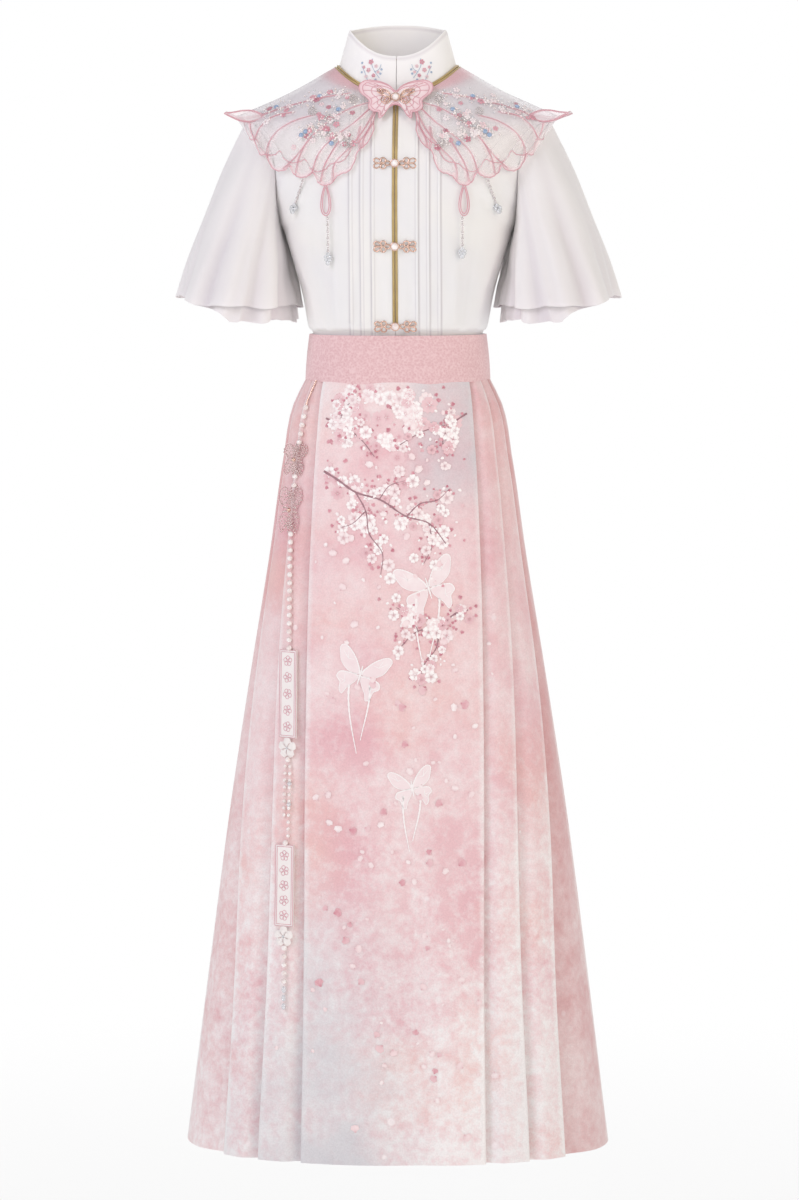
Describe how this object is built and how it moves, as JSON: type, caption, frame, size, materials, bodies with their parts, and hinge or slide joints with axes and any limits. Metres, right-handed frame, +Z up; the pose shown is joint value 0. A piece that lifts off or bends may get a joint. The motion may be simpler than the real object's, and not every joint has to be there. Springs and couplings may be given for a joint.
{
  "type": "hanfu set of blouse with capelet and pleated skirt",
  "caption": "White stand-collar blouse with flared sleeves and sheer winged capelet, over a pink pleated horse-face skirt with pearl pendant.",
  "frame": {"origin": "centre of the waistband's top edge, at the wearer's waist", "axes": "+Z up, front of the garment faces -Y, +X to the wearer's left"},
  "size_m": [0.5344, 0.348, 1.342],
  "materials": {
    "printed_skirt_cloth": "pink and white watercolour print on matt woven satin",
    "jacquard_band": "dusty pink fine jacquard, matt",
    "white_blouse_cloth": "off-white fine woven cloth, slight sheen",
    "white_chiffon": "white chiffon, soft and slightly sheer",
    "sheer_organza": "sheer pale organza with satin-stitch edges",
    "gold_piping": "old gold satin piping",
    "rose_gold_wire": "polished rose-gold plated wire",
    "pearl": "pearl lustre",
    "pink_satin_stitch": "pink satin-stitch embroidery",
    "white_satin_stitch": "white satin-stitch embroidery with pink edges",
    "clear_crystal": "clear cut crystal"
  },
  "bodies": {
    "root": {"bead_drop_1": "clear_crystal", "bead_drop_2": "clear_crystal", "bead_drop_3": "clear_crystal", "bead_drop_4": "clear_crystal", "blouse_back": "white_blouse_cloth", "blouse_front_left": "white_blouse_cloth", "blouse_front_right": "white_blouse_cloth", "capelet": "sheer_organza", "clasp_1_bow_left": "rose_gold_wire", "clasp_1_bow_right": "rose_gold_wire", "clasp_1_pearl": "pearl", "clasp_2_bow_left": "rose_gold_wire", "clasp_2_bow_right": "rose_gold_wire", "clasp_2_pearl": "pearl", "clasp_3_bow_left": "rose_gold_wire", "clasp_3_bow_right": "rose_gold_wire", "clasp_3_pearl": "pearl", "clasp_patch": "pink_satin_stitch", "collar_piping": "gold_piping", "front_ribbon_left": "gold_piping", "front_ribbon_right": "gold_piping", "pendant_butterfly_1": "pink_satin_stitch", "pendant_butterfly_2": "pink_satin_stitch", "pendant_flower_1": "white_satin_stitch", "pendant_flower_2": "white_satin_stitch", "pendant_plaque_1": "white_satin_stitch", "pendant_plaque_2": "white_satin_stitch", "pendant_strand_1": "pearl", "pendant_strand_2": "pearl", "pendant_strand_3": "pearl", "pendant_strand_4": "pearl", "pendant_strand_5": "pearl", "skirt_back_panel": "printed_skirt_cloth", "skirt_front_panel": "printed_skirt_cloth", "skirt_pleats_left": "printed_skirt_cloth", "skirt_pleats_right": "printed_skirt_cloth", "sleeve_left": "white_chiffon", "sleeve_right": "white_chiffon", "sleeve_under_left": "white_chiffon", "sleeve_under_right": "white_chiffon", "stand_collar": "white_blouse_cloth", "top_clasp_pearl": "pearl", "top_clasp_wing_left": "rose_gold_wire", "top_clasp_wing_right": "rose_gold_wire", "waistband": "jacquard_band"}
  },
  "joints": []
}
